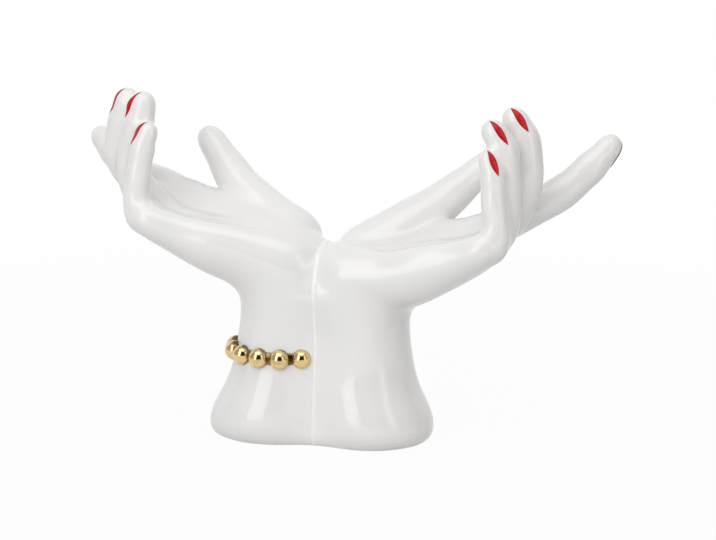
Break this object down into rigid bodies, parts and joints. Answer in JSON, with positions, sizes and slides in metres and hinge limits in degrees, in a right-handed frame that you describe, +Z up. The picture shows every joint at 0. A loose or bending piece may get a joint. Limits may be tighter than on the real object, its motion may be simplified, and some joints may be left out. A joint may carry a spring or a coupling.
{
  "type": "ceramic hand sculpture",
  "caption": "White glazed ceramic centrepiece of two hands joined at the wrists, palms up as dishes, with red enamel nails and a gold bead bracelet in relief.",
  "frame": {"origin": "on the standing surface, under the middle of the joint between the two wrists", "axes": "+Z up; +X along the width, from the hand with the bracelet to the other hand; +Y from the little fingers to the thumbs, away from the viewer"},
  "size_m": [0.3352, 0.1135, 0.2065],
  "materials": {
    "white_glaze": "gloss white glaze",
    "seam_slip": "glaze pooled in the joint",
    "nail_enamel": "gloss red enamel fired over the glaze",
    "gold_lustre": "gold lustre fired over the glaze"
  },
  "bodies": {
    "root": {"left_hand": "white_glaze", "left_thumb_nail": "nail_enamel", "left_index_nail": "nail_enamel", "left_middle_nail": "nail_enamel", "left_ring_nail": "nail_enamel", "left_little_nail": "nail_enamel", "right_hand": "white_glaze", "right_thumb_nail": "nail_enamel", "right_index_nail": "nail_enamel", "right_middle_nail": "nail_enamel", "right_ring_nail": "nail_enamel", "right_little_nail": "nail_enamel", "wrist_seam": "seam_slip", "bracelet_band": "gold_lustre", "bracelet_beads": "gold_lustre"}
  },
  "joints": []
}
